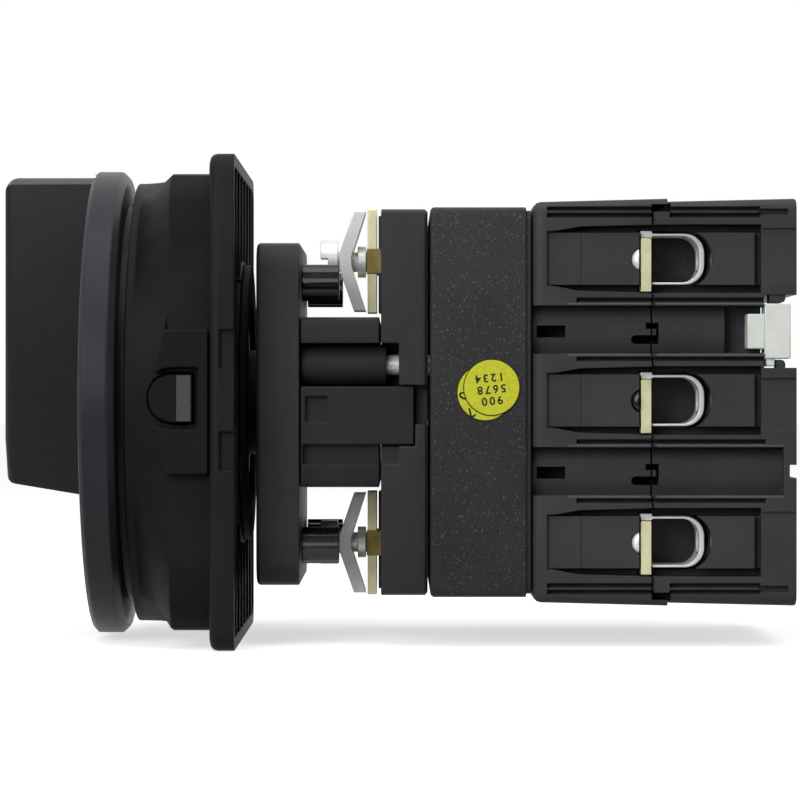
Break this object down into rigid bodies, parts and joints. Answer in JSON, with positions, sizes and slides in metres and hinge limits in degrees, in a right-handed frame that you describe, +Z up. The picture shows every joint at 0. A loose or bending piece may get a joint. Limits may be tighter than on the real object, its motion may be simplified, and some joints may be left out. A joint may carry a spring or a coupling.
{
  "type": "main isolator switch",
  "caption": "Door-mounted rotary main isolator switch: padlockable handle and lock housing, panel flange, cam drive and a multi-pole contact block with box terminals.",
  "frame": {"origin": "on the drive shaft's axis at the panel plane, the rear face of the front plate", "axes": "+X along the shaft from the handle to the rear of the contact block, +Z up with the pointer, +Y to the far side"},
  "size_m": [0.1476, 0.09, 0.09],
  "materials": {
    "handle_plastic": "satin moulded",
    "housing_plastic": "satin moulded",
    "body_plastic": "fine grained",
    "gloss_black": "semi gloss",
    "rubber": "matt",
    "nylon": "natural nylon",
    "zinc": "bright zinc plated",
    "brass": "bright stamped",
    "steel": "drawn",
    "label": "printed paper"
  },
  "bodies": {
    "switch_body": {"lock_housing": "housing_plastic", "front_plate": "housing_plastic", "panel_seal": "rubber", "mounting_flange": "body_plastic", "neck_frame": "body_plastic", "detent_housing": "body_plastic", "detent_spring": "steel", "cam_housing": "body_plastic", "contact_base": "body_plastic", "contact_cover": "body_plastic", "return_spring": "steel", "end_plug": "nylon", "tie_screw_near": "zinc", "screw_cap_upper_near": "gloss_black", "screw_cap_lower_near": "gloss_black", "terminal_bar_1_near": "brass", "clamp_strap_1_near": "zinc", "terminal_bar_2_near": "brass", "clamp_strap_2_near": "zinc", "terminal_bar_3_near": "brass", "clamp_strap_3_near": "zinc", "tie_screw_far": "zinc", "screw_cap_upper_far": "gloss_black", "screw_cap_lower_far": "gloss_black", "terminal_bar_1_far": "brass", "clamp_strap_1_far": "zinc", "terminal_bar_2_far": "brass", "clamp_strap_2_far": "zinc", "terminal_bar_3_far": "brass", "clamp_strap_3_far": "zinc", "saddle_bar_upper": "brass", "saddle_bar_lower": "brass"},
    "handle": {"handle_grip": "handle_plastic", "handle_disc": "gloss_black", "handle_screw": "zinc", "drive_shaft": "steel", "detent_wheel": "nylon", "face_cam": "nylon"},
    "padlock_slide": {"padlock_slide": "gloss_black"},
    "contact_carrier": {"contact_carrier": "nylon", "contact_bridge_1": "brass", "contact_bridge_2": "brass", "contact_bridge_3": "brass", "contact_spring_1": "steel", "contact_spring_2": "steel", "contact_spring_3": "steel"},
    "detent_plunger": {"detent_plunger": "steel"},
    "release_tab_near": {"release_tab_near": "gloss_black"},
    "release_tab_far": {"release_tab_far": "gloss_black"},
    "clamp_screw_1_near": {"clamp_screw_1_near": "zinc"},
    "clamp_screw_1_far": {"clamp_screw_1_far": "zinc"},
    "clamp_screw_2_near": {"clamp_screw_2_near": "zinc"},
    "clamp_screw_2_far": {"clamp_screw_2_far": "zinc"},
    "clamp_screw_3_near": {"clamp_screw_3_near": "zinc"},
    "clamp_screw_3_far": {"clamp_screw_3_far": "zinc"},
    "saddle_upper": {"saddle_clamp_upper": "zinc", "saddle_screw_upper": "zinc"},
    "saddle_lower": {"saddle_clamp_lower": "zinc", "saddle_screw_lower": "zinc"}
  },
  "joints": [
    {"name": "handle_turn", "type": "hinge", "parent": "switch_body", "child": "handle", "pos_m": [0, 0, 0], "axis": [1, 0, 0], "range_deg": [0, 90]},
    {"name": "padlock_pull", "type": "slide", "parent": "handle", "child": "padlock_slide", "axis": [0, 0, -1], "range_m": [0, 0.017]},
    {"name": "carrier_slide", "type": "slide", "parent": "switch_body", "child": "contact_carrier", "axis": [1, 0, 0], "range_m": [0, 0.005], "deforming": ["return_spring"]},
    {"name": "detent_lift", "type": "slide", "parent": "switch_body", "child": "detent_plunger", "axis": [0, 0, 1], "range_m": [0, 0.0016], "deforming": ["detent_spring"]},
    {"name": "release_press_near", "type": "slide", "parent": "switch_body", "child": "release_tab_near", "axis": [0, 1, 0], "range_m": [0, 0.0015], "stiffness_N_per_m": 300, "springref_m": -0.0005},
    {"name": "release_press_far", "type": "slide", "parent": "switch_body", "child": "release_tab_far", "axis": [0, -1, 0], "range_m": [0, 0.0015], "stiffness_N_per_m": 300, "springref_m": -0.0005},
    {"name": "clamp_drive_1_near", "type": "slide", "parent": "switch_body", "child": "clamp_screw_1_near", "axis": [-1, 0, 0], "range_m": [0, 0.008]},
    {"name": "clamp_drive_1_far", "type": "slide", "parent": "switch_body", "child": "clamp_screw_1_far", "axis": [-1, 0, 0], "range_m": [0, 0.008]},
    {"name": "clamp_drive_2_near", "type": "slide", "parent": "switch_body", "child": "clamp_screw_2_near", "axis": [-1, 0, 0], "range_m": [0, 0.008]},
    {"name": "clamp_drive_2_far", "type": "slide", "parent": "switch_body", "child": "clamp_screw_2_far", "axis": [-1, 0, 0], "range_m": [0, 0.008]},
    {"name": "clamp_drive_3_near", "type": "slide", "parent": "switch_body", "child": "clamp_screw_3_near", "axis": [-1, 0, 0], "range_m": [0, 0.008]},
    {"name": "clamp_drive_3_far", "type": "slide", "parent": "switch_body", "child": "clamp_screw_3_far", "axis": [-1, 0, 0], "range_m": [0, 0.008]},
    {"name": "saddle_loosen_upper", "type": "slide", "parent": "switch_body", "child": "saddle_upper", "axis": [-1, 0, 0], "range_m": [0, 0.0025]},
    {"name": "saddle_loosen_lower", "type": "slide", "parent": "switch_body", "child": "saddle_lower", "axis": [-1, 0, 0], "range_m": [0, 0.0025]}
  ],
  "couplings": [
    {"joint": "carrier_slide", "follows": "handle_turn", "m_per_rad": 0.0031831}
  ]
}
